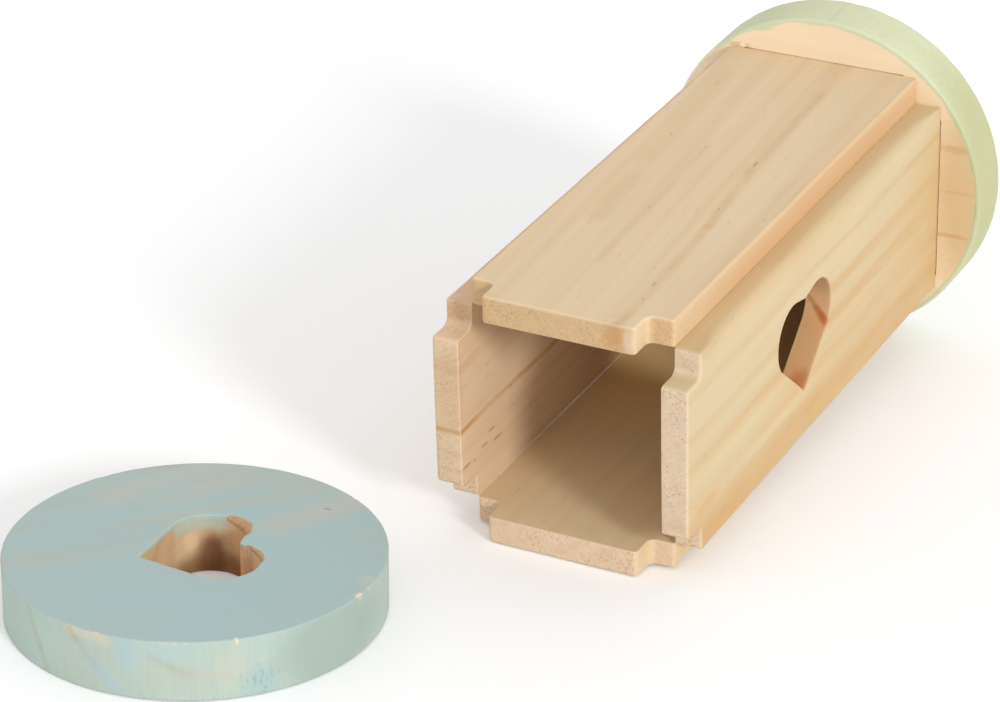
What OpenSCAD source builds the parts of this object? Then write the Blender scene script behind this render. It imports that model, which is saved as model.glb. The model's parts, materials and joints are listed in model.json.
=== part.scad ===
// Wooden treat roller: a square tube of four boards between two painted round ends.
// One end is glued on. The other end is a lid that pushes onto the tabs of the boards.
// It is drawn with the lid off: the lid lies flat in front, on the left, and the tube leans on
// its open mouth and on the rim of the fixed end.

/* [Round ends] */
// Diameter of both round ends
disc_d = 90; // [84:1:130]
// Thickness of both round ends
disc_t = 15; // [11:0.5:30]
// Radius of the sanded edges of the round ends
disc_ease = 1; // [0.3:0.1:2.5]

/* [Boards] */
// Clear width inside the square tube
inside_w = 53; // [49:0.5:58]
// Length of the boards between the two round ends
board_len = 150; // [100:1:260]
// Thickness of the boards
board_t = 7; // [4:0.5:9]
// Hairline between the meeting edges of two boards
board_gap = 0.1; // [0.05:0.05:0.5]
// Radius of the sanded outer edges along the boards
board_ease = 0.7; // [0.2:0.1:2]

/* [Tabs and slots] */
// Width of the tab at each end of a board
tab_w = 40; // [28:0.5:42]
// Length of a tab, from its shoulders to its end
tab_len = 7.5; // [3:0.5:10]
// Radius of the hollow corner where a tab meets its shoulder
tab_root_r = 2; // [0.5:0.25:2.5]
// Radius of the outer corners of a tab
tab_corner_r = 1.2; // [0.3:0.1:2.5]
// Clearance between a tab and each side of its slot
slot_clear = 0.15; // [0.05:0.05:0.4]
// Spare depth of a slot past the end of its tab
slot_spare = 0.5; // [0.2:0.1:1]

/* [Hearts] */
// Height of a heart hole from its point to the top of its lobes
heart_h = 27; // [24:0.5:34]
// Radius of the lobes of a heart hole
lobe_r = 9; // [6:0.2:11]
// Distance between the middles of the two lobes
lobe_spacing = 14.6; // [12:0.2:18]
// Slope of the valley between the lobes on the lid, in degrees
lid_valley_slope = 31; // [10:1:40]
// Slope of the valley between the lobes on the side board, in degrees
board_valley_slope = 13; // [10:1:40]
// Distance from the mouth's shoulders to the middle of the heart in the side board
heart_from_mouth = 61; // [25:1:75]
// Turn of the lid's heart from the line of the slots
lid_heart_turn = -45; // [-180:1:180]

/* [Lid as it lies] */
// Distance of the lid's middle to the left of the tube's middle
lid_left = 65; // [40:1:120]
// Distance of the lid's middle in front of the tube's mouth
lid_front = 61; // [60:1:120]

/* [Hidden] */
$fn = 96;
// Extra length that carries a cut clear through a face
through = 1;
disc_r = disc_d / 2;
half_in = inside_w / 2;
half_out = half_in + board_t;
board_w = inside_w - 2 * board_gap;
slot_w = board_t + 2 * slot_clear;
slot_depth = tab_len + slot_spare;
// Straight half of a slot: it clears the hollow corners of the tab, and round ends follow
slot_half = tab_w / 2 + tab_root_r;
// Middle of a board's thickness, measured from the axis of the tube
board_mid = half_in + board_t / 2;

// The tube leans on the lower front edge of its bottom tab and on the eased rim of the fixed end.
// lean_run and lean_drop reach from that edge to the middle of the rim's rounding.
lean_run = tab_len + board_len + disc_ease;
lean_drop = disc_r - disc_ease - half_out;
lean_span = sqrt(lean_run * lean_run + lean_drop * lean_drop);
lean = atan2(lean_drop, lean_run) + asin(disc_ease / lean_span);

// Furthest point at the back: the lower rim of the fixed end's outer face
back_run = tab_len + board_len + disc_t - disc_ease;
back_y = back_run * cos(lean) + lean_drop * sin(lean) + disc_ease;
front_y = -lid_front - disc_r;
left_x = -lid_left - disc_r;
right_x = disc_r;
// Middle of the whole part's footprint, which is the origin
mid_x = (left_x + right_x) / 2;
mid_y = (front_y + back_y) / 2;

board_colour = [0.89, 0.79, 0.63];
heart_board_colour = [0.90, 0.81, 0.64];
fixed_end_colour = [0.80, 0.85, 0.68];
lid_colour = [0.66, 0.74, 0.73];

// Carries the tube from its own axis (mouth's shoulders at y = 0, +y to the fixed end) to its lean
module in_tube() {
    translate([-mid_x, -mid_y, 0])
        rotate([lean, 0, 0])
            translate([0, tab_len, half_out])
                children();
}

// Carries the lid from its own middle, with its inner face at z = 0, to where it lies
module in_lid() {
    translate([-lid_left - mid_x, -lid_front - mid_y, 0])
        children();
}

// Point where the straight line from an outside point touches a circle, on its right-hand side
function touch_point(from, centre, r) =
    let (
        reach = from - centre,
        turn = atan2(reach[1], reach[0]) + acos(r / norm(reach))
    )
    centre + r * [cos(turn), sin(turn)];

function flip_x(p) = [-p[0], p[1]];

// Heart with its point at -y: two round lobes, straight sides and a straight-sided valley
module heart(valley_slope) {
    lobe = [lobe_spacing / 2, heart_h / 2 - lobe_r];
    point = [0, -heart_h / 2];
    side = touch_point(point, lobe, lobe_r);
    crest = lobe + lobe_r * [-sin(valley_slope), cos(valley_slope)];
    cusp = [0, crest[1] - crest[0] * tan(valley_slope)];
    for (sx = [-1, 1])
        translate([sx * lobe[0], lobe[1]])
            circle(r = lobe_r);
    polygon([point, side, crest, cusp, flip_x(crest), flip_x(side)]);
}

// Tab on the edge x-axis, pointing to -y, with rounded outer corners and hollow root corners
module tab() {
    half = tab_w / 2;
    translate([-half, -tab_len + tab_corner_r])
        square([tab_w, tab_len - tab_corner_r + through]);
    translate([-half + tab_corner_r, -tab_len])
        square([tab_w - 2 * tab_corner_r, tab_len]);
    for (sx = [-1, 1]) {
        translate([sx * (half - tab_corner_r), -tab_len + tab_corner_r])
            circle(r = tab_corner_r);
        difference() {
            translate([sx * (half + tab_root_r / 2) - tab_root_r / 2, -tab_root_r])
                square([tab_root_r, tab_root_r + through]);
            translate([sx * (half + tab_root_r), -tab_root_r])
                circle(r = tab_root_r);
        }
    }
}

// Plan of a board: x across it, y along the tube, a tab at each end; its section trims the sides
module board_plan() {
    translate([-board_w / 2 - through, 0])
        square([board_w + 2 * through, board_len]);
    tab();
    translate([0, board_len])
        mirror([0, 1])
            tab();
}

// Section of a board: x across it, y from its inner to its outer face, whose two edges are eased
module board_section() {
    half = board_w / 2;
    translate([-half, 0])
        square([board_w, board_t - board_ease]);
    translate([-half + board_ease, 0])
        square([board_w - 2 * board_ease, board_t]);
    for (sx = [-1, 1])
        translate([sx * (half - board_ease), board_t - board_ease])
            circle(r = board_ease);
}

// One board on its side of the tube: turn 0 is the top, 90 the left, 180 the bottom, 270 the right
module board(turn) {
    tab_end = tab_len + through;
    in_tube()
        rotate([0, -turn, 0])
            translate([0, 0, half_in])
                intersection() {
                    translate([0, 0, -through])
                        linear_extrude(board_t + 2 * through)
                            board_plan();
                    translate([0, board_len + tab_end, 0])
                        rotate([90, 0, 0])
                            linear_extrude(board_len + 2 * tab_end)
                                board_section();
                }
}

// The heart goes through the right board, with its point down
module heart_cut() {
    in_tube()
        translate([half_in - through, heart_from_mouth, 0])
            rotate([90, 0, 90])
                linear_extrude(board_t + 2 * through)
                    heart(board_valley_slope);
}

// Round end with its inner face at z = 0 and its outer face up, both edges eased
module round_end() {
    rotate_extrude() {
        square([disc_r - disc_ease, disc_t]);
        translate([0, disc_ease])
            square([disc_r, disc_t - 2 * disc_ease]);
        for (edge_z = [disc_ease, disc_t - disc_ease])
            translate([disc_r - disc_ease, edge_z])
                circle(r = disc_ease);
    }
}

// Four round-ended slots for the tabs, cut up into the inner face at z = 0
module slots() {
    for (turn = [0:90:270])
        rotate(turn)
            translate([0, board_mid, -through])
                linear_extrude(slot_depth + through) {
                    translate([-slot_half, -slot_w / 2])
                        square([2 * slot_half, slot_w]);
                    for (sx = [-1, 1])
                        translate([sx * slot_half, 0])
                            circle(d = slot_w);
                }
}

module top_board() {
    color(board_colour)
        board(0);
}

module left_board() {
    color(board_colour)
        board(90);
}

module bottom_board() {
    color(board_colour)
        board(180);
}

module heart_board() {
    color(heart_board_colour)
        difference() {
            board(270);
            heart_cut();
        }
}

module fixed_end() {
    color(fixed_end_colour)
        in_tube()
            translate([0, board_len, 0])
                rotate([-90, 0, 0])
                    difference() {
                        round_end();
                        slots();
                    }
}

module lid() {
    color(lid_colour)
        in_lid()
            difference() {
                round_end();
                slots();
                rotate(lid_heart_turn)
                    translate([0, 0, -through])
                        linear_extrude(disc_t + 2 * through)
                            heart(lid_valley_slope);
            }
}

top_board();
bottom_board();
left_board();
heart_board();
fixed_end();
lid();
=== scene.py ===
import json
import math
import bmesh
import bpy
import numpy as np
from mathutils import Matrix, Vector


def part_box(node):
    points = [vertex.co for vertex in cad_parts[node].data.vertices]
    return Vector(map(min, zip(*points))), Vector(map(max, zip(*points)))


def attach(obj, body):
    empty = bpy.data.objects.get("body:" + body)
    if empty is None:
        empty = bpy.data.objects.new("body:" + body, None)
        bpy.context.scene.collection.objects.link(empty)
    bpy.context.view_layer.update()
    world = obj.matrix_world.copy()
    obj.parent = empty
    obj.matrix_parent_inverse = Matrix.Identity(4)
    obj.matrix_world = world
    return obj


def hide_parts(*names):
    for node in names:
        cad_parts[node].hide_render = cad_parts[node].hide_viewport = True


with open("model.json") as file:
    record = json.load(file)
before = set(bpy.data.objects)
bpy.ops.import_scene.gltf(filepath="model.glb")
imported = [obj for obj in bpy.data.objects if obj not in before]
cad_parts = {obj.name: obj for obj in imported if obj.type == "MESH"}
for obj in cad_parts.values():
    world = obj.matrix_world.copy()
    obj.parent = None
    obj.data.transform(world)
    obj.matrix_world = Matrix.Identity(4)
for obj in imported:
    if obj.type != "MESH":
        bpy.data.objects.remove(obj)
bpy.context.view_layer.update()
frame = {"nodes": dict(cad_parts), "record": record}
scene = bpy.context.scene
mm = 0.001
print("frame loaded:", ", ".join(sorted(frame["nodes"])))


# Sizes in millimetres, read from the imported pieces
def span(node, axis):
    low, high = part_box(node)
    return (high[axis] - low[axis]) / mm


mounts = {mount["name"]: mount for mount in frame["record"]["mounts"]}
endPlace = Vector(mounts["fixed_end_face"]["pos_m"])  # middle of the fixed end's outer face
tubeAxis = Vector(mounts["fixed_end_face"]["axis"]).normalized()
discRadius = span("lid", 0) / 2
discThick = span("lid", 2)
boardThick = span("left_board", 0)
halfInside = (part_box("heart_board")[0].x - endPlace.x) / mm
boardWidth = 2 * halfInside  # corners of neighbouring boards just meet

tab = {
    "width": 40.0,
    "length": 7.5,
    "rootRadius": 2.0,  # hollow corner at the shoulder
    "cornerRadius": 1.2,
    "shoulderRadius": 1.0,
}
slot = {
    "width": 7.3,
    "half": 22.0,  # straight half, before the round ends
    "arcPoints": 14,
    "depth": 8.0,
    "middle": halfInside + boardThick / 2,
}
# between the shoulders: the leaning board's reach along Y, less its tabs
boardLength = (span("top_board", 1) - boardThick * tubeAxis.z) / tubeAxis.y - 2 * tab["length"]


# Frames: millimetres on a piece to metres in the row
def frameAt(turn, origin):
    return Matrix.Translation(origin) @ turn.to_4x4() @ Matrix.Scale(mm, 4)


tubeTurn = Matrix(((1, 0, 0), (0, tubeAxis.y, -tubeAxis.z), (0, tubeAxis.z, tubeAxis.y)))
mouth = endPlace - tubeAxis * (discThick + boardLength) * mm  # axis point between the front shoulders


def boardFrame(turnDegrees):
    turn = tubeTurn @ Matrix.Rotation(math.radians(-turnDegrees), 3, "Y")
    return frameAt(turn, mouth + turn @ Vector((0, 0, halfInside * mm)))


lidLow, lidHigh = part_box("lid")
lidPlace = Vector(((lidLow.x + lidHigh.x) / 2, (lidLow.y + lidHigh.y) / 2, lidLow.z))
lidFrame = frameAt(Matrix.Identity(3), lidPlace)
endTurn = tubeTurn @ Matrix.Rotation(math.radians(-90), 3, "X")
endFrame = frameAt(endTurn, endPlace - tubeAxis * discThick * mm)


# Lines
def wander(part, slowest, fastest, seed):
    # closed wander between about -1 and 1: a mean of sines with whole wave counts and seeded phases
    waves, gain = 7, 1.6
    draw = np.random.default_rng(seed)
    counts = draw.integers(slowest, fastest + 1, waves)
    phases = draw.random(waves) * 2 * np.pi
    return gain * np.sin(2 * np.pi * part[:, None] * counts + phases).mean(axis=1)


def uneven(radius, swing, part, waves, seed):
    # edge radius that wanders by the share swing along a closed line
    return radius * (1 + swing * wander(part, *waves, seed))


def smooth(value, low, high):
    # smooth step from 0 at low to 1 at high
    part = np.clip((value - low) / (high - low), 0, 1)
    return part * part * (3 - 2 * part)


def plateau(away, half, power=4):
    # 1 near zero, falling off past half; a higher power makes the top flatter
    return np.exp(-((away / half) ** power))


def direction(angle):
    # unit vectors at the angles
    return np.stack([np.cos(angle), np.sin(angle)], axis=-1)


def bearing(points):
    # angles at which flat points lie, seen from the middle
    return np.arctan2(points[:, 1], points[:, 0])


def turnedBy(points, angle):
    # flat points turned anticlockwise about the middle
    return points @ np.array([[math.cos(angle), math.sin(angle)], [-math.sin(angle), math.cos(angle)]])


def alongLoop(points):
    # distance along a closed line at each of its points, and its whole length
    steps = np.linalg.norm(np.roll(points, -1, axis=0) - points, axis=1)
    return np.concatenate([[0], np.cumsum(steps)[:-1]]), steps.sum()


def roundedCorners(corners, gap, arcSteps=9):
    # anticlockwise outline from corners (x, y, radius): each corner becomes the arc that touches both
    # its sides, and straights get points at most gap apart; gives points and outward normals
    corners = np.array(corners, float)
    spot, radius = corners[:, :2], corners[:, 2:]
    ahead = np.roll(spot, -1, axis=0) - spot
    ahead /= np.linalg.norm(ahead, axis=1, keepdims=True)
    arriving = np.roll(ahead, 1, axis=0)
    turned = arriving[:, 0] * ahead[:, 1] - arriving[:, 1] * ahead[:, 0]
    bend = np.arctan2(turned, (arriving * ahead).sum(axis=1))
    side = np.sign(bend)[:, None]
    reach = radius * np.tan(np.abs(bend) / 2)[:, None]
    first = np.stack([arriving[:, 1], -arriving[:, 0]], axis=1)
    middle = spot - arriving * reach - first * radius * side
    angle = np.arctan2(first[:, 1], first[:, 0])[:, None] + bend[:, None] * np.linspace(0, 1, arcSteps)
    normals = direction(angle)
    arcs = middle[:, None] + normals * (radius * side)[:, None]
    points, facing = [], []
    for arc, normal, following in zip(arcs, normals, np.roll(arcs, -1, axis=0)):
        length = np.linalg.norm(following[0] - arc[-1])
        part = np.linspace(0, 1, int(length / gap) + 2)[1:-1, None]
        points += [arc, arc[-1] + (following[0] - arc[-1]) * part]
        facing += [normal, np.repeat(normal[-1:], len(part), axis=0)]
    return np.concatenate(points), np.concatenate(facing)


def softLoop(points, count, blunt):
    # even steps along a closed line, whose sharp corners are blunted by damping the fast waves of
    # its Fourier series; the same series gives the direction, and so the outward normals
    at, whole = alongLoop(points)
    even = np.linspace(0, whole, count, endpoint=False)
    right, up = [np.interp(even, at, points[:, k], period=whole) for k in (0, 1)]
    line = right + 1j * up
    wave = 2 * np.pi * np.fft.fftfreq(count, whole / count)
    series = np.fft.fft(line) * np.exp(-0.5 * (wave * blunt) ** 2)
    line, way = np.fft.ifft(series), np.fft.ifft(series * 1j * wave)
    normal = -1j * way / np.abs(way)
    return np.stack([line.real, line.imag], axis=1), np.stack([normal.real, normal.imag], axis=1)


heart = {"height": 27.0, "lobeRadius": 9.0, "spacing": 14.6, "blunt": 0.22, "arcPoints": 80, "points": 360}


def heartLoop(valleySlope, turnDegrees):
    # right half: from the point straight to where it touches the lobe, round the lobe to its crest and
    # straight down into the valley; the left half mirrors it, and the whole is turned about its middle
    lobe = np.array([heart["spacing"] / 2, heart["height"] / 2 - heart["lobeRadius"]])
    point = np.array([0, -heart["height"] / 2])
    slope = math.radians(valleySlope)
    reach = point - lobe
    touch = math.atan2(reach[1], reach[0]) + math.acos(heart["lobeRadius"] / np.linalg.norm(reach))
    angle = np.linspace(touch, math.pi / 2 + slope, heart["arcPoints"])
    arc = lobe + heart["lobeRadius"] * direction(angle)
    cusp = np.array([0, arc[-1, 1] - arc[-1, 0] * math.tan(slope)])
    half = np.concatenate([[point], arc, [cusp]])
    whole = np.concatenate([half, half[-2:0:-1] * [-1, 1]])
    return softLoop(turnedBy(whole, math.radians(turnDegrees)), heart["points"], heart["blunt"])


def atAngles(points, normals, theta):
    # points and unit normals of a loop where rays from the middle at the angles theta meet it
    angle = bearing(points)
    spot, facing = [np.stack([np.interp(theta, angle, loop[:, k], period=2 * np.pi) for k in (0, 1)], axis=1)
                    for loop in (points, normals)]
    return spot, facing / np.linalg.norm(facing, axis=1, keepdims=True)


# Rows of a surface: every row is one closed loop of points
def level(loop, height):
    # flat loop at one height, or at a height for each of its points
    height = np.broadcast_to(np.asarray(height, float), loop.shape[:1])
    return np.concatenate([loop, height[:, None]], axis=1)


def between(start, end, parts):
    # straight rows from one loop of points to another, at the given parts of the way
    parts = np.asarray(parts, float)[:, None, None]
    return start + (end - start) * parts


def roundOver(wall, facing, height, up, radius, steps=7):
    # quarter round from a flat face to a wall: at angle a it lies radius * (1 - sin a) in from the wall
    # and radius * (1 - cos a) below the face
    angle = np.linspace(0, np.pi / 2, steps)[:, None]
    inset = radius * (1 - np.sin(angle))
    heights = height - up * radius * (1 - np.cos(angle))
    flat = wall - facing * inset[..., None]
    return np.concatenate([flat, heights[..., None]], axis=2)


def stacked(blocks):
    # labelled blocks of rows to one grid, and the label of each row
    rows = np.concatenate([block for _, block in blocks])
    labels = np.concatenate([[label] * len(block) for label, block in blocks])[:, None]
    return rows, labels


# Where rows lie on a stretch of surface, as parts of the way
rowParts = {
    "boardFace": np.array([0.0, 0.015, 0.04, 0.09, 0.2, 0.35, 0.5, 0.65, 0.8, 0.92, 0.985, 0.998]),
    "boardWall": np.linspace(0, 1, 9)[1:-1],
    "discFace": np.array([0.012, 0.028, 0.05, 0.08, 0.2, 0.5, 0.8, 0.92, 0.955, 0.975, 0.988, 0.998]),
    "discWall": np.linspace(0, 1, 9)[1::2],
    "outsideSlots": [0.02, 0.1, 0.25, 0.5, 0.75, 1],
    "slotWall": [0.5, 1],
    "insideSlots": [0.3, 0.6, 0.9, 0.98],
    "heartWall": np.linspace(0, 1, 13)[1:-1],
}
weld = {"distance": 2e-7, "degenerate": 1e-8, "sharpDegrees": 38}


def addToScene(name, data):
    made = bpy.data.objects.new(name, data)
    scene.collection.objects.link(made)
    return made


def addPiece(name, rows, place, ring, values):
    # grid of rows to a closed mesh: quads between neighbouring rows and columns, with the seams and
    # poles welded; ring joins the last row to the first one
    count, columns = rows.shape[:2]
    across = np.arange(columns)
    down = np.arange(count if ring else count - 1)[:, None]
    below, after = (down + 1) % count, (across + 1) % columns
    quads = np.stack([down * columns + across, below * columns + across,
                      below * columns + after, down * columns + after], axis=2).reshape(-1, 4)
    turn = np.array(place.to_3x3())
    points = rows.reshape(-1, 3) @ turn.T + np.array(place.translation)
    mesh = bpy.data.meshes.new(name)
    mesh.from_pydata(points.tolist(), [], quads.tolist())
    for label, value in values.items():
        layer = mesh.attributes.new(label, "FLOAT", "POINT")
        layer.data.foreach_set("value", np.broadcast_to(value, rows.shape[:2]).astype(np.float32).ravel())
    welded = bmesh.new()
    welded.from_mesh(mesh)
    bmesh.ops.remove_doubles(welded, verts=welded.verts, dist=weld["distance"])
    bmesh.ops.dissolve_degenerate(welded, edges=welded.edges, dist=weld["degenerate"])
    welded.to_mesh(mesh)
    welded.free()
    mesh.polygons.foreach_set("use_smooth", np.ones(len(mesh.polygons), bool))
    mesh.set_sharp_from_angle(angle=math.radians(weld["sharpDegrees"]))
    print(name, len(mesh.vertices), "points", len(mesh.polygons), "faces")
    return addToScene(name, mesh)


# Boards
boards = {
    "top_board": {"turn": 0, "edge": 0.7, "soft": 0.0, "seed": 11},
    "left_board": {"turn": 90, "edge": 0.7, "soft": 0.2, "seed": 12},
    "bottom_board": {"turn": 180, "edge": 0.7, "soft": 0.2, "seed": 13},
    "heart_board": {"turn": 270, "edge": 0.7, "soft": 2.4, "seed": 14,
                    "heartFromMouth": 61.0, "valleySlope": 13.0, "heartTurn": 90.0},
}
boardFinish = {
    "swing": 0.18,  # how far the sanded radius wanders, and in how many waves
    "edgeWaves": (3, 24),
    "innerEdge": 0.3,
    "seamEdge": 0.03,  # inner long edges, where two boards meet
    "rearEdge": 0.12,  # where a board butts on the fixed end
    "heartEdge": 0.3,
    "heartWorn": 0.1,
    "heartSawn": 0.5,  # how much of the sawn wall's colour its edge takes
    "sideWorn": 0.2,  # wear of the long outer edges, against the ends
    "hollow": 0.04,  # how far the sanded outline wanders inwards
    "hollowWaves": (2, 16),
    "sideSpared": 0.7,  # share of that which the long edges are spared
    "sideFade": (0.6, 0.1),  # a long edge counts as one from here to here, from the side
    "rearFade": (3.5, 0.8),  # and the rear end, from its shoulder
    "softFade": (2, 14),  # where a soft long edge sets in, from both ends
    "pointGap": 1.4,
    "leastTurn": 1e-4,  # closer rays than this are made one
}


def boardOutline(middleY):
    # shoulders and tabs, seen from outside, about a point on the board's middle line
    half, wide = tab["width"] / 2, boardWidth / 2
    quarter = [(half, -tab["length"], tab["cornerRadius"]), (half, 0, tab["rootRadius"]),
               (wide, 0, tab["shoulderRadius"])]
    right = quarter + [(x, boardLength - y, r) for x, y, r in quarter[::-1]]
    corners = right + [(-x, y, r) for x, y, r in right[::-1]]
    return roundedCorners([(x, y - middleY, r) for x, y, r in corners], boardFinish["pointGap"])


def boardPiece(name, settings):
    # rows run from the middle, or the heart, over the outer face, round the sides and in over the inner one
    finish, seed = boardFinish, settings["seed"]
    holed = "heartFromMouth" in settings
    rimLabel = "heartEdge" if holed else "face"
    middleY = settings.get("heartFromMouth", boardLength / 2)
    outline, facing = boardOutline(middleY)
    if holed:
        rim, rimFacing = heartLoop(settings["valleySlope"], settings["heartTurn"])
        theta = np.sort(np.concatenate([bearing(outline), bearing(rim)]))
        theta = theta[np.diff(theta, prepend=-2 * np.pi) > finish["leastTurn"]]
        outline, facing = atAngles(outline, facing, theta)
        rim, rimFacing = atAngles(rim, rimFacing, theta)
    else:
        ridge = boardLength / 2 - boardWidth / 2  # flat faces run in to this stretch of the middle line
        rim = np.stack([np.zeros(len(outline)), np.clip(outline[:, 1], -ridge, ridge)], axis=1)
    at, whole = alongLoop(outline)
    part = at / whole
    fromFront = outline[:, 1] + middleY
    sideFrom, sideTo = finish["sideFade"]
    rearFrom, rearTo = finish["rearFade"]
    onSide = smooth(np.abs(outline[:, 0]), boardWidth / 2 - sideFrom, boardWidth / 2 - sideTo)
    atRear = smooth(fromFront, boardLength - rearFrom, boardLength - rearTo)
    inMiddle = smooth(fromFront, *finish["softFade"]) * smooth(boardLength - fromFront, *finish["softFade"])
    softSide = settings["soft"] * inMiddle * onSide * (outline[:, 0] < 0)
    outer = uneven(settings["edge"], finish["swing"], part, finish["edgeWaves"], seed) + softSide
    outer += (finish["rearEdge"] - outer) * atRear
    inner = uneven(finish["innerEdge"], finish["swing"], part, finish["edgeWaves"], seed + 100)
    inner += (finish["seamEdge"] - inner) * np.maximum(onSide, atRear)
    dip = finish["hollow"] * (0.5 + 0.5 * wander(part, *finish["hollowWaves"], seed + 200))
    outline = outline - facing * (dip * (1 - atRear) * (1 - finish["sideSpared"] * onSide))[:, None]
    overEdge = roundOver(outline, facing, boardThick, 1, outer)
    underEdge = roundOver(outline, facing, 0, -1, inner)[::-1]
    if holed:
        cut = np.full(len(theta), finish["heartEdge"])
        overRim = roundOver(rim, -rimFacing, boardThick, 1, cut)[::-1]
        underRim = roundOver(rim, -rimFacing, 0, -1, cut)
    else:
        overRim, underRim = level(rim, boardThick)[None], level(rim, 0)[None]
    faceParts, wallParts = rowParts["boardFace"], rowParts["boardWall"]
    blocks = [
        (rimLabel, overRim),
        ("face", between(overRim[-1], overEdge[0], faceParts[1:])),
        ("edge", overEdge),
        ("side", between(overEdge[-1], underEdge[0], wallParts)),
        ("inEdge", underEdge),
        ("inside", between(underEdge[-1], underRim[0], 1 - faceParts[:0:-1])),
        (rimLabel, underRim),
    ]
    if holed:
        blocks.append(("wall", between(underRim[-1], overRim[0], wallParts)))
    rows, labels = stacked(blocks)
    rows[..., 1] += middleY
    arch = np.sin(np.linspace(0, np.pi, len(overEdge)))[:, None]  # edges are worn most halfway round
    wear = {"edge": arch * (1 + (finish["sideWorn"] - 1) * onSide), "inEdge": arch * (1 - onSide),
            "heartEdge": finish["heartWorn"]}
    worn = [np.broadcast_to(wear.get(label, 0.0), block.shape[:2]) for label, block in blocks]
    sawn = (labels == "wall") + finish["heartSawn"] * (labels == "heartEdge")
    values = {"worn": np.concatenate(worn), "sawn": sawn}
    return addPiece("sanded_" + name, rows, boardFrame(settings["turn"]), holed, values)


# Round ends
lid = {
    "edge": 0.4, "swing": 0.3, "seed": 31, "valleySlope": 31.0, "heartTurn": -45.0, "heartEdge": 0.35,
    "splinter": 0.2,  # roughness of the sawn heart's upper edge round its lobes
    "splinterAt": 20.0,  # direction of the roughest stretch, in degrees
    # chips on the upper rim: angle and half width in degrees, depth in millimetres
    "chips": [(-94.0, 2.4, 0.11), (-88.0, 3.4, 0.1), (-65.0, 8.5, 0.085), (-46.4, 0.5, 0.3),
              (-2.3, 1.5, 0.34), (3.0, 1.2, 0.1), (64.0, 0.9, 0.14), (151.0, 1.4, 0.1), (-152.0, 1.6, 0.1)],
    "chipSize": 0.8,
    # broken paint round the heart: angle and half width in degrees, depth and reach in millimetres
    "heartChips": [(78.0, 19.0, 0.34, 1.9), (17.0, 14.0, 0.3, 0.9), (30.0, 8.0, 0.24, 0.7),
                   (-60.0, 5.0, 0.14, 0.5)],
}
fixedEnd = {
    "edge": 0.8, "swing": 0.2, "seed": 41, "chips": [(-128.0, 1.2, 0.22), (38.0, 0.8, 0.18)], "chipSize": 0.9,
}
discFinish = {
    "rimSteps": 640,
    "edgeWaves": (5, 40),
    "heartSwing": 0.4,  # how far the heart's upper edge wanders
    "underHeart": 0.3,  # its lower edge, against the upper one
    "splinterHalf": 52.0,  # half of the rough stretch, in degrees
    "splinterWaves": (12, 60),
    "breakRound": 0.7,  # radius at a break in the heart's edge, against the break's reach
    "breakRagged": 0.2,
    "breakWaves": (8, 44),
    "breakLeast": 1e-4,  # keeps a break's ends from dividing by zero
    "chipRagged": 0.35,
    "chipWaves": (60, 160),
    "chipSink": 0.7,  # a chip goes in and down by this share of its depth
    "besideSlot": 1e-9,  # rays to both sides of a slot's end
}
slotTurns = np.arange(4) * np.pi / 2


def slotLines():
    # one slot seen from the disc's middle: its near and far sides as lines that start and end where a
    # ray just touches its round ends; the same for all four, a quarter turn apart
    radius = slot["width"] / 2
    endMiddle = np.array([slot["half"], slot["middle"]])
    grazing = math.atan2(endMiddle[1], endMiddle[0]) - math.asin(radius / np.linalg.norm(endMiddle))
    lines = []
    for finish in (-math.pi / 2, math.pi / 2):
        angle = np.linspace(grazing - math.pi / 2, finish, slot["arcPoints"])
        arc = endMiddle + radius * direction(angle)
        side = np.concatenate([arc, arc[::-1] * [-1, 1]])
        lines.append(np.concatenate([turnedBy(side, turn) for turn in slotTurns]))
    return lines[0], lines[1], math.pi / 2 - grazing


def degreesFrom(theta, angle):
    # turn from an angle to each theta, between -180 and 180 degrees
    return (np.degrees(theta) - angle + 180) % 360 - 180


def dome(theta, angle, halfWidth, least=0.0):
    # half circle over a stretch of the rim: 1 in its middle, the least value at its ends
    return np.sqrt(np.maximum(1 - (degreesFrom(theta, angle) / halfWidth) ** 2, least))


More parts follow.
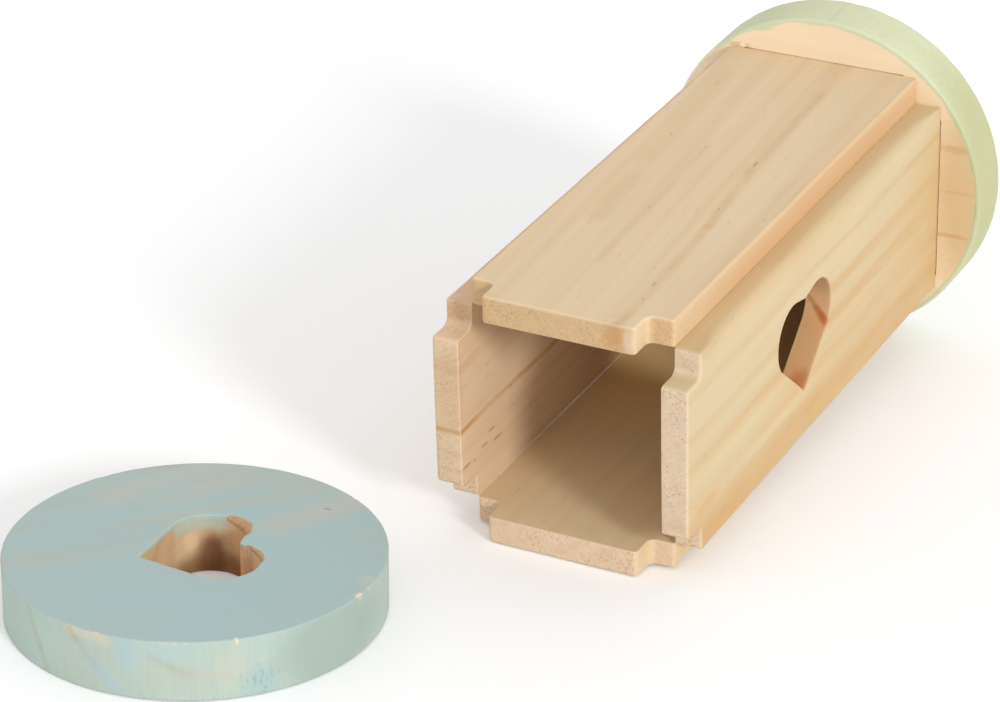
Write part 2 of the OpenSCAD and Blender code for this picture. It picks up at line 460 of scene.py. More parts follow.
def discPiece(name, settings, place, coverOf):
    # rows run from the middle over the outer face, down the rim, in over the inner face with its slots
    finish, seed = discFinish, settings["seed"]
    near, far, slotHalf = slotLines()
    holed = "valleySlope" in settings
    loops = [near, far]
    if holed:
        rim, rimFacing = heartLoop(settings["valleySlope"], settings["heartTurn"])
        loops.append(rim)
    hair = finish["besideSlot"]
    besideEnds = np.array([-slotHalf - hair, -slotHalf + hair, slotHalf - hair, slotHalf + hair])
    grazes = (slotTurns[:, None] + besideEnds).ravel()
    even = np.linspace(0, 2 * np.pi, finish["rimSteps"], endpoint=False)
    theta = np.concatenate([bearing(loop) for loop in loops] + [grazes, even])
    theta = np.sort(theta % (2 * np.pi))
    ray = direction(theta)
    quarter = (theta + np.pi / 4) % (np.pi / 2) - np.pi / 4
    depth = np.where(np.abs(quarter) < slotHalf, slot["depth"], 0)
    near, far = atAngles(near, near, theta)[0], atAngles(far, far, theta)[0]
    part = theta / (2 * np.pi)
    outer = uneven(settings["edge"], settings["swing"], part, finish["edgeWaves"], seed)
    inner = uneven(settings["edge"], settings["swing"], part, finish["edgeWaves"], seed + 100)
    wall = ray * discRadius
    overEdge = roundOver(wall, ray, discThick, 1, outer)
    underEdge = roundOver(wall, ray, 0, -1, inner)[::-1]
    if holed:
        rim, rimFacing = atAngles(rim, rimFacing, theta)
        cut = uneven(settings["heartEdge"], finish["heartSwing"], part, finish["edgeWaves"], seed + 200)
        for angle, halfWidth, _, reach in settings["heartChips"]:
            # a break rounds the edge off, most in its middle
            cut = np.maximum(cut, finish["breakRound"] * reach * dome(theta, angle, halfWidth))
        roughest = plateau(degreesFrom(theta, settings["splinterAt"]), finish["splinterHalf"])
        rough = settings["splinter"] * np.abs(wander(part, *finish["splinterWaves"], seed + 300)) * roughest
        underCut = np.full(len(theta), settings["heartEdge"] * finish["underHeart"])
        overRim = roundOver(rim + rimFacing * rough[:, None], -rimFacing, discThick, 1, cut)[::-1]
        underRim = roundOver(rim, -rimFacing, 0, -1, underCut)
    else:
        overRim, underRim = level(ray * 0, discThick)[None], level(ray * 0, 0)[None]
    farTop, farFloor = level(far, 0), level(far, depth)
    nearFloor, nearTop = level(near, depth), level(near, 0)
    blocks = [
        ("top", overRim),
        ("top", between(overRim[-1], overEdge[0], rowParts["discFace"])),
        ("rim", overEdge),
        ("rim", between(overEdge[-1], underEdge[0], rowParts["discWall"])),
        ("rim", underEdge),
        ("under", between(underEdge[-1], farTop, rowParts["outsideSlots"])),
        ("slot", between(farTop, farFloor, rowParts["slotWall"])),
        ("slot", between(farFloor, nearFloor, rowParts["slotWall"])),
        ("slot", between(nearFloor, nearTop, rowParts["slotWall"])),
        ("under", between(nearTop, underRim[0], rowParts["insideSlots"])),
        ("under", underRim),
    ]
    if holed:
        blocks.append(("heart", between(underRim[-1], overRim[0], rowParts["heartWall"])))
    rows, labels = stacked(blocks)
    across = np.hypot(rows[..., 0], rows[..., 1])
    fromEdge = np.hypot(discRadius - across, discThick - rows[..., 2]) / settings["chipSize"]
    chip, torn = np.zeros(rows.shape[:2]), np.zeros(rows.shape[:2])
    for angle, halfWidth, deep in settings["chips"]:
        ragged = 1 + finish["chipRagged"] * wander(part, *finish["chipWaves"], seed + int(angle % 360))
        inChip = plateau(degreesFrom(theta, angle), halfWidth) * np.exp(-fromEdge ** 2)
        chip = np.maximum(chip, deep * ragged * inChip)
    for angle, halfWidth, deep, reach in settings.get("heartChips", []):
        ragged = 1 + finish["breakRagged"] * wander(part, *finish["breakWaves"], seed + int(angle % 360))
        bite = reach * ragged * dome(theta, angle, halfWidth, finish["breakLeast"])
        fromRim = np.hypot(across - np.linalg.norm(rim, axis=1), discThick - rows[..., 2]) / bite
        inBreak = np.exp(-fromRim ** 2)
        chip = np.maximum(chip, deep * inBreak)
        torn = np.maximum(torn, inBreak)
    rows[..., :2] -= ray * (chip * (across > discRadius / 2))[..., None] * finish["chipSink"]
    rows[..., 2] -= chip * finish["chipSink"]
    chip *= labels != "heart"  # the sawn wall under a break keeps its own wood
    cover = coverOf(labels, theta, across, rows[..., 2])
    return addPiece("painted_" + name, rows, place, holed, {"cover": cover, "chip": chip, "torn": torn})


# Paint: how much covers the rim and the strip that slops over the lower edge, and how far that reaches
lidPaint = {
    "rim": 0.92, "under": 0.7, "seed": 71,
    "slop": 1.4, "slopSwing": 0.9, "slopWaves": (6, 50), "slopFade": 0.5,
    # run of paint in the heart: cover, middle and half width in degrees, height where it ends
    "run": 0.9, "runAt": 119.0, "runHalf": 24.0, "runPower": 8,
    "runEnd": 9.8, "runSwing": 0.4, "runWaves": (4, 18), "runFade": 2.8, "runSeed": 72,
}
endPaint = {
    "rim": 0.92, "under": 0.95, "seed": 73,
    "slop": 1.15, "slopSwing": 0.5, "slopWaves": (3, 22), "slopFade": 0.25,
    # where the strip is rubbed off: middle and half width in degrees, heights
    "rubbedAt": 213.0, "rubbedHalf": 13.0, "rubbedHeight": (0.3, 1.0),
}


def edgeCover(paint, labels, theta, across):
    # full on the outer face, nearly so on the rim, and a wavy strip over the edge of the bare inner face
    wave = wander(theta / (2 * np.pi), *paint["slopWaves"], paint["seed"])
    slop = paint["slop"] + paint["slopSwing"] * wave
    strip = 1 - smooth(discRadius - across, slop - paint["slopFade"], slop + paint["slopFade"])
    cover = np.where(labels == "top", 1.0, 0.0)
    cover = np.where(labels == "rim", paint["rim"], cover)
    return np.where(labels == "under", paint["under"] * strip, cover)


def lidCover(labels, theta, across, height):
    # the same, with a run of paint down the far lobe of the heart
    paint = lidPaint
    wave = wander(theta / (2 * np.pi), *paint["runWaves"], paint["runSeed"])
    end = paint["runEnd"] + paint["runSwing"] * wave
    run = plateau(np.degrees(theta) - paint["runAt"], paint["runHalf"], paint["runPower"])
    run = run * smooth(height, end, end + paint["runFade"])
    return np.where(labels == "heart", paint["run"] * run, edgeCover(paint, labels, theta, across))


def endCover(labels, theta, across, height):
    # the same, rubbed off the lower edge at one side
    paint = endPaint
    rubbed = plateau(np.degrees(theta) - paint["rubbedAt"], paint["rubbedHalf"])
    rubbed = rubbed * (1 - smooth(height, *paint["rubbedHeight"]))
    return edgeCover(paint, labels, theta, across) * (1 - rubbed)


# Shader helpers
def tint(red, green, blue):
    # colour as seen on a screen, 0 to 255, to the linear values of a socket
    part = np.array([red, green, blue]) / 255
    linear = np.where(part <= 0.04045, part / 12.92, ((part + 0.055) / 1.055) ** 2.4)
    return (*linear.tolist(), 1.0)


bench = {}  # holds the node tree that is being built


def put(kind, inputs, **options):
    # new node with its options, and a link or a value for each input
    tree = bench["tree"]
    made = tree.nodes.new("ShaderNode" + kind)
    for key, value in options.items():
        setattr(made, key, value)
    for key, value in inputs.items():
        if isinstance(value, bpy.types.NodeSocket):
            tree.links.new(value, made.inputs[key])
        else:
            made.inputs[key].default_value = value
    return made


def newMaterial(name):
    material = bpy.data.materials.new(name)
    material.use_nodes = True
    bench["tree"] = material.node_tree
    bench["tree"].nodes.clear()
    return material


def attribute(name):
    return put("Attribute", {}, attribute_name=name).outputs["Fac"]


def calc(operation, *values):
    return put("Math", dict(enumerate(values)), operation=operation).outputs[0]


def times(first, second):
    return calc("MULTIPLY", first, second)


def swung(noise, amount, middle):
    # a middle value, plus an amount times how far a noise is from a half
    return calc("MULTIPLY_ADD", calc("SUBTRACT", noise, 0.5), amount, middle)


def vectorCalc(operation, *values):
    made = put("VectorMath", dict(enumerate(values)), operation=operation)
    return made.outputs["Value" if operation in ("LENGTH", "DOT_PRODUCT") else "Vector"]


def scaled(vector, amount):
    return put("VectorMath", {0: vector, "Scale": amount}, operation="SCALE").outputs["Vector"]


def mixed(factor, first, second):
    # mix of two colours; sockets 6 and 7 of the node are its colour pair
    return put("Mix", {0: factor, 6: first, 7: second}, data_type="RGBA").outputs[2]


def tinted(color, mask, strength, newTint):
    # colour mixed towards a tint by a mask times a strength
    return mixed(times(mask, strength), color, newTint)


def spread(value, low, high, toLow=0.0, toHigh=1.0):
    ends = {"Value": value, "From Min": low, "From Max": high, "To Min": toLow, "To Max": toHigh}
    return put("MapRange", ends, interpolation_type="SMOOTHSTEP").outputs["Result"]


def cloud(vector, stretch, detail=2.0, rough=0.5, output=0):
    # noise whose cells are 1 / stretch millimetres long on each axis
    inputs = {"Vector": vectorCalc("MULTIPLY", vector, stretch), "Scale": 1.0,
              "Detail": detail, "Roughness": rough}
    return put("TexNoise", inputs).outputs[output]


def grains(vector, stretch):
    # Voronoi cells of that length
    inputs = {"Vector": vectorCalc("MULTIPLY", vector, stretch), "Scale": 1.0}
    return put("TexVoronoi", inputs).outputs


def swayed(vector, stretch, detail, amount):
    # places moved about by a slow noise
    off = cloud(vector, stretch, detail, output="Color")
    off = scaled(vectorCalc("SUBTRACT", off, (0.5, 0.5, 0.5)), amount)
    return vectorCalc("ADD", vector, off)


def stops(value, marks):
    # greys at places between 0 and 1
    ramp = put("ValToRGB", {0: value})
    ramp.color_ramp.interpolation = "EASE"
    elements = ramp.color_ramp.elements
    while len(elements) < len(marks):
        elements.new(0.5)
    for element, (position, grey) in zip(elements, sorted(marks)):
        element.position = position
        element.color = (grey, grey, grey, 1)
    return ramp.outputs["Color"]


def newGroup(name, inputs, outputs):
    # inputs and outputs are names with kinds of socket
    bench["tree"] = tree = bpy.data.node_groups.new(name, "ShaderNodeTree")
    for way, sockets in (("INPUT", inputs), ("OUTPUT", outputs)):
        for label, kind in sockets.items():
            tree.interface.new_socket(label, in_out=way, socket_type="NodeSocket" + kind)
    return tree.nodes.new("NodeGroupInput").outputs


def closeGroup(results):
    tree = bench["tree"]
    output = tree.nodes.new("NodeGroupOutput")
    for label, socket in results.items():
        tree.links.new(socket, output.inputs[label])
    return tree


pineInputs = {  # what a look sets
    "pith": "Vector", "ringWidth": "Float", "bend": "Float", "early": "Color", "late": "Color",
    "warm": "Color", "rings": "Float", "bandTint": "Color", "fibre": "Float", "dashes": "Float",
    "endTint": "Color", "specks": "Float",
}
pineCells = {  # cells to a millimetre across, along and through the board
    "drift": (0.022, 0.006, 0.022), "patchy": (0.05, 0.008, 0.05), "fibre": (2.6, 0.05, 2.6),
    "wide": (0.35, 0.009, 0.35), "tone": (0.03, 0.015, 0.03), "glow": (0.07, 0.012, 0.07),
    "dash": (0.9, 0.11, 0.9), "pore": (1.25, 0.2, 1.25), "crowd": (0.12, 0.05, 0.2),
    "scratch": (2.4, 0.5, 0.3),
}
pineMarks = {
    "ringProfile": [(0.0, 0.15), (0.1, 0.03), (0.5, 0.2), (0.84, 1.0), (0.92, 0.8), (1.0, 0.15)],
    "dashShare": 0.72, "dashTint": tint(150, 104, 66), "poreTint": tint(174, 126, 90), "scratchLean": 32.0,
}


def buildPineWood():
    # pine in millimetres with its grain along Y: growth rings round a pith line, slow drift, fibres
    # and resin canals that show as dashes on the faces and as dots and saw scratches on the ends
    given = newGroup("pineWood", {"Vector": "Vector", "Band": "Float", "End": "Float", **pineInputs},
                     {"Color": "Color", "Roughness": "Float", "Height": "Float"})
    local, cells = given["Vector"], pineCells
    bent = swayed(local, cells["drift"], 2.0, given["bend"])
    outward = vectorCalc("MULTIPLY", vectorCalc("SUBTRACT", bent, given["pith"]), (1, 0, 1))
    turns = calc("DIVIDE", vectorCalc("LENGTH", outward), given["ringWidth"])
    profile = stops(calc("FRACT", turns), pineMarks["ringProfile"])
    eachRing = put("TexWhiteNoise", {"W": calc("FLOOR", turns)}, noise_dimensions="1D")
    rings = times(profile, spread(eachRing.outputs["Value"], 0.0, 1.0, 0.3, 1.0))
    rings = times(rings, spread(cloud(bent, cells["patchy"]), 0.3, 0.7, 0.35, 1.0))
    fibre = cloud(bent, cells["fibre"], 4.0, 0.6)
    wide = cloud(bent, cells["wide"], 3.0, 0.55)
    tone = cloud(local, cells["tone"])
    glow = spread(cloud(bent, cells["glow"], 3.0), 0.4, 0.72)
    canals = grains(bent, cells["dash"])
    pick = vectorCalc("DOT_PRODUCT", canals["Color"], (1, 0, 0))
    dashes = spread(canals["Distance"], 0.2, 0.08)
    dashes = times(dashes, calc("GREATER_THAN", pick, pineMarks["dashShare"]))
    pores = grains(bent, cells["pore"])
    poreSize = vectorCalc("DOT_PRODUCT", pores["Color"], (0, 1, 0))
    specks = times(spread(pores["Distance"], 0.44, 0.12), spread(poreSize, 0.2, 0.9))
    specks = times(specks, spread(cloud(local, cells["crowd"]), 0.38, 0.62, 0.3, 1.0))
    lean = {"Vector": local, "Angle": math.radians(pineMarks["scratchLean"])}
    leaning = put("VectorRotate", lean, rotation_type="Y_AXIS").outputs[0]
    scratch = cloud(leaning, cells["scratch"], 3.0, 0.6)
    color = tinted(given["early"], glow, 0.5, given["warm"])
    color = tinted(color, rings, given["rings"], given["late"])
    color = mixed(given["Band"], color, given["bandTint"])
    streaks = swung(fibre, 0.5, swung(wide, 1.5, 0.0))
    shade = calc("MULTIPLY_ADD", streaks, given["fibre"], 1.0)
    shade = swung(tone, 0.1, shade)
    color = tinted(scaled(color, shade), dashes, given["dashes"], pineMarks["dashTint"])
    endWood = tinted(given["endTint"], rings, 0.35, given["late"])
    endWood = scaled(endWood, swung(scratch, 0.42, shade))
    endWood = tinted(endWood, specks, given["specks"], pineMarks["poreTint"])
    pits = times(specks, calc("MULTIPLY_ADD", given["End"], 0.7, 0.1))
    height = calc("SUBTRACT", calc("MULTIPLY_ADD", rings, 0.2, fibre), pits)
    height = calc("ADD", height, times(scratch, times(given["End"], 1.6)))
    return closeGroup({"Color": mixed(given["End"], color, endWood), "Height": height,
                       "Roughness": calc("MULTIPLY_ADD", fibre, 0.16, 0.5)})


paintInputs = {"poolTint": "Color", "patch": "Float", "pool": "Float"}  # what a look sets
paintCells = {
    "streak": (0.2, 0.016, 0.2), "patch": (0.06, 0.03, 0.08), "grit": (2.2, 1.1, 2.2),
    "pool": (0.11, 0.07, 0.2),
}


def buildThinPaint():
    # thin matt paint over wood: thinner along the grain's streaks and in slow patches, gone in chips
    given = newGroup("thinPaint", {"Vector": "Vector", "Wood": "Color", "Paint": "Color", "Cover": "Float",
                                   "Chip": "Float", "Chip Tint": "Color", "Streak": "Float", **paintInputs},
                     {"Color": "Color", "Amount": "Float", "Height": "Float"})
    local, cells = given["Vector"], paintCells
    streak = spread(cloud(local, cells["streak"], 4.0, 0.55), 0.4, 0.8)
    patch = spread(cloud(local, cells["patch"], 3.0, 0.55), 0.4, 0.75)
    grit = cloud(local, cells["grit"], 3.0, 0.6)
    thin = calc("ADD", times(streak, given["Streak"]), times(patch, given["patch"]))
    amount = calc("SUBTRACT", given["Cover"], times(thin, given["Cover"]))
    amount = put("Clamp", {"Value": amount}).outputs[0]
    bare = spread(calc("MULTIPLY_ADD", grit, 0.16, given["Chip"]), 0.13, 0.24)
    pools = spread(cloud(local, cells["pool"], 3.0, 0.55), 0.56, 0.74)
    paint = tinted(given["Paint"], pools, given["pool"], given["poolTint"])
    paint = scaled(paint, swung(grit, 0.06, 1.0))
    color = mixed(amount, given["Wood"], paint)
    return closeGroup({"Color": mixed(bare, color, given["Chip Tint"]), "Amount": amount,
                       "Height": calc("MULTIPLY_ADD", grit, 0.5, amount)})


def buildRoughSpot():
    # ragged spot: 1 inside an ellipsoid about its middle, fading out at its edge, which noise roughens;
    # Broken keeps only the flecks of it where a finer noise is high
    given = newGroup("roughSpot", {"Vector": "Vector", "Middle": "Vector", "Reach": "Vector",
                                   "Ragged": "Float"}, {"Mask": "Float", "Broken": "Float"})
    away = vectorCalc("SUBTRACT", given["Vector"], given["Middle"])
    away = vectorCalc("LENGTH", vectorCalc("DIVIDE", away, given["Reach"]))
    grain = cloud(given["Vector"], (0.7, 0.7, 0.7), 4.0, 0.6)
    mask = spread(swung(grain, given["Ragged"], away), 1.0, 0.35)
    flecks = spread(cloud(given["Vector"], (1.1, 1.1, 0.34), 3.0, 0.65), 0.48, 0.64)
    return closeGroup({"Mask": mask, "Broken": times(mask, flecks)})


def buildFleckLine():
    # line of flecks along the grain, from one point to another on the board's plane, through its
    # thickness: a soft streak, and short dark flecks where noise along the line is high
    given = newGroup("fleckLine", {"Vector": "Vector", "From": "Vector", "To": "Vector", "Width": "Float"},
                     {"Line": "Float", "Streak": "Float", "Flecks": "Float"})
    flat = swayed(given["Vector"], (0.05, 0.05, 0.0), 3.0, 2.5)
    flat = vectorCalc("MULTIPLY", flat, (1, 1, 0))
    run = vectorCalc("SUBTRACT", given["To"], given["From"])
    start = vectorCalc("SUBTRACT", flat, given["From"])
    part = vectorCalc("DOT_PRODUCT", start, run)
    part = calc("DIVIDE", part, vectorCalc("DOT_PRODUCT", run, run))
    foot = scaled(run, put("Clamp", {"Value": part}).outputs[0])
    away = vectorCalc("LENGTH", vectorCalc("SUBTRACT", start, foot))
    away = calc("DIVIDE", away, given["Width"])
    along = cloud(given["Vector"], (0.6, 0.22, 0.0), 3.0, 0.6)
    slow = cloud(given["Vector"], (0.0, 0.03, 0.0))
    line = spread(away, 1.0, 0.1)
    streak = times(line, spread(slow, 0.35, 0.6, 0.35, 1.0))
    flecks = times(spread(away, 0.34, 0.08), spread(along, 0.6, 0.68))
    return closeGroup({"Line": line, "Streak": streak, "Flecks": flecks})


pineWood = buildPineWood()
thinPaint = buildThinPaint()
roughSpot = buildRoughSpot()
fleckLine = buildFleckLine()
print("shader groups built")


def addSpots(plain, color, spots, within=1.0, kind="Mask"):
    # ragged spots: middle, reach, raggedness, colour and strength
    for middle, reach, ragged, spotTint, strength in spots:
        inputs = {"Vector": plain, "Middle": middle, "Reach": reach, "Ragged": ragged}
        spot = put("Group", inputs, node_tree=roughSpot).outputs[kind]
        color = tinted(color, spot, times(within, strength), spotTint)
    return color


def lineAt(flat, start, end, width):
    inputs = {"Vector": flat, "From": (*start, 0), "To": (*end, 0), "Width": width}
    return put("Group", inputs, node_tree=fleckLine).outputs


def addLines(flat, color, lines, within):
    # soft lines on a plane: start, end, half width, colour and strength
    for start, end, width, lineTint, strength in lines:
        line = lineAt(flat, start, end, width)["Line"]
        color = tinted(color, line, times(within, strength), lineTint)
    return color


def woodNodes(name, look, place):
    # object coordinates to millimetres on the piece, turned so that the grain runs along Y, then the
    # pine group with its values, listed bands, lines of flecks and spots
    material = newMaterial(name)
    turn = place.to_3x3().normalized()
    coords = put("TexCoord", {}).outputs
    onPiece = {"Vector": coords["Object"], "Location": place.translation, "Rotation": turn.to_euler("XYZ"),
               "Scale": (mm, mm, mm)}
    plain = put("Mapping", onPiece, vector_type="TEXTURE").outputs[0]
    grainTurn = math.radians(look["grainTurn"])
    local = put("VectorRotate", {"Vector": plain, "Angle": -grainTurn}, rotation_type="Z_AXIS").outputs[0]
    grainWay = turn @ Vector((-math.sin(grainTurn), math.cos(grainTurn), 0))
    facing = calc("ABSOLUTE", vectorCalc("DOT_PRODUCT", coords["Normal"], grainWay))
    band = 0.0
    if look["bands"]:
        # strength of the band tint at places across the grain
        reach = look["bandSpan"]
        across = put("SeparateXYZ", {0: local}).outputs[0]
        shifted = swung(cloud(local, (0.012, 0.012, 0.012), 3.0), look["bend"], across)
        marks = [(0.5 + middle / reach, strength) for middle, strength in look["bands"]]
        band = stops(calc("MULTIPLY_ADD", shifted, 1 / reach, 0.5), marks)
        patchy = spread(cloud(local, (0.05, 0.014, 0.05), 3.0), 0.3, 0.65, 0.4, 1.0)
        band = times(band, patchy)
    inputs = {"Vector": local, "Band": band, "End": spread(facing, 0.55, 0.9)}
    inputs.update((label, look[label]) for label in pineInputs)
    pine = put("Group", inputs, node_tree=pineWood)
    color = pine.outputs["Color"]
    for start, end, width, streakStrength, fleckStrength in look["lines"]:
        line = lineAt(plain, start, end, width)
        color = tinted(color, line["Streak"], streakStrength, look["lineTint"])
        color = tinted(color, line["Flecks"], fleckStrength, look["fleckTint"])
    # spots of the wood's own colour, and some of painted light and shade
    color = addSpots(plain, color, look["woodSpotsAndPaintedShading"])
    return material, coords["Normal"], plain, local, pine.outputs, color


def finishSurface(color, roughness, height, bumpMm):
    bump = put("Bump", {"Height": height, "Distance": bumpMm * mm, "Strength": 1.0})
    surface = put("BsdfPrincipled", {"Base Color": color, "Roughness": roughness,
                                     "Normal": bump.outputs[0], "Specular IOR Level": 0.28})
    put("OutputMaterial", {0: surface.outputs[0]})


def barePine(name, look, place):
    # sawn walls take their own tint, spots and lines, whose places are across and through the board
    material, _, plain, _, pine, color = woodNodes(name, look, place)
    sawn = attribute("sawn")
    color = tinted(color, sawn, look["sawn"], look["sawnTint"])
    color = addSpots(plain, color, look["wallSpots"], sawn)
    across, _, deep = put("SeparateXYZ", {0: plain}).outputs
    wall = put("CombineXYZ", {0: across, 1: deep}).outputs[0]
    color = addLines(wall, color, look["wallLines"], sawn)
    color = tinted(color, attribute("worn"), look["wornEdge"], look["wornTint"])
    finishSurface(color, pine["Roughness"], pine["Height"], look["bump"])
    return material


wash = {
    "rimFacing": (0.75, 0.35),  # how far along the disc's axis a normal points, on a face and on the rim
    "painted": (0.3, 0.7),  # cover that counts as bare and as painted
    "sawCells": (1.3, 1.3, 0.07),
    "sawLines": 0.16,
    "fuzzCells": (1.6, 1.6, 0.8),
    "fuzz": 0.4,
    "streakSpan": 8.0,  # streaks change from one strength to the other this far to both sides of the middle
    "woodThrough": 0.5,  # how much of the wood's relief shows in the paint
    "rougher": 0.06,
}


def washedPine(name, look, place):
    # the rim takes its own paint tint, with fine lines across it where the saw went, a paler inner edge
    # and listed lines, whose places are millimetres round the rim and along its width
    material, normal, plain, local, pine, wood = woodNodes(name, look, place)
    cover, chip, torn = [attribute(label) for label in ("cover", "chip", "torn")]
    onFace, offFace = wash["rimFacing"]
    facingOut = vectorCalc("DOT_PRODUCT", normal, place.to_3x3().normalized().col[2])
    onRim = spread(calc("ABSOLUTE", facingOut), onFace, offFace)
    painted = spread(cover, *wash["painted"])
    onTop = times(spread(facingOut, offFace, onFace), painted)
    offTop = times(spread(facingOut, onFace, offFace), painted)
    sawLines = cloud(plain, wash["sawCells"], 3.0, 0.6)
    sawLines = swung(sawLines, times(onRim, wash["sawLines"]), 1.0)
    paintTint = scaled(mixed(onRim, look["paint"], look["rimPaint"]), sawLines)
    right, far, height = put("SeparateXYZ", {0: plain}).outputs
    edgeTint, edgeWidth, edgeStrength = look["innerEdge"]
    paintTint = mixed(spread(height, edgeWidth, 0.0, 0.0, edgeStrength), paintTint, edgeTint)
    across = put("SeparateXYZ", {0: local}).outputs[0]
    streak = spread(across, wash["streakSpan"], -wash["streakSpan"], *look["streak"])
    fuzz = spread(cloud(plain, wash["fuzzCells"], 4.0, 0.65), 0.42, 0.64, 0.0, wash["fuzz"])
    tornWood = mixed(fuzz, look["tornTint"], look["tornDark"])
    breakTint = mixed(spread(torn, 0.02, 0.3), look["chipTint"], tornWood)
    inputs = {"Vector": local, "Wood": wood, "Paint": paintTint, "Cover": cover, "Chip": chip,
              "Chip Tint": breakTint, "Streak": streak}
    inputs.update((label, look[label]) for label in paintInputs)
    paint = put("Group", inputs, node_tree=thinPaint).outputs
    color = addLines(plain, paint["Color"], look["topLines"], onTop)
    color = addSpots(plain, color, look["paintSpots"])
    # paint spots on the rim, one of them painted shade
    color = addSpots(plain, color, look["rimPaintSpotsAndPaintedShade"], offTop)
    color = addSpots(plain, color, look["scuffs"], onRim, "Broken")
    roundRim = times(calc("ARCTAN2", far, right), discRadius)
    unrolled = put("CombineXYZ", {0: roundRim, 1: height}).outputs[0]
    rimLines = [(alongRim(*start), alongRim(*end), *rest) for start, end, *rest in look["rimLines"]]
    color = addLines(unrolled, color, rimLines, times(onRim, painted))
    relief = calc("MULTIPLY_ADD", pine["Height"], wash["woodThrough"], paint["Height"])
    rough = calc("MULTIPLY_ADD", paint["Amount"], wash["rougher"], pine["Roughness"])
    finishSurface(color, rough, relief, look["bump"])
    return material


def onRimAt(degrees, height):
    # place on a round end's rim, in millimetres
    angle = math.radians(degrees)
    return (discRadius * math.cos(angle), discRadius * math.sin(angle), height)


def alongRim(degrees, height):
    # the same place on the unrolled rim
    return (discRadius * math.radians(degrees), height)


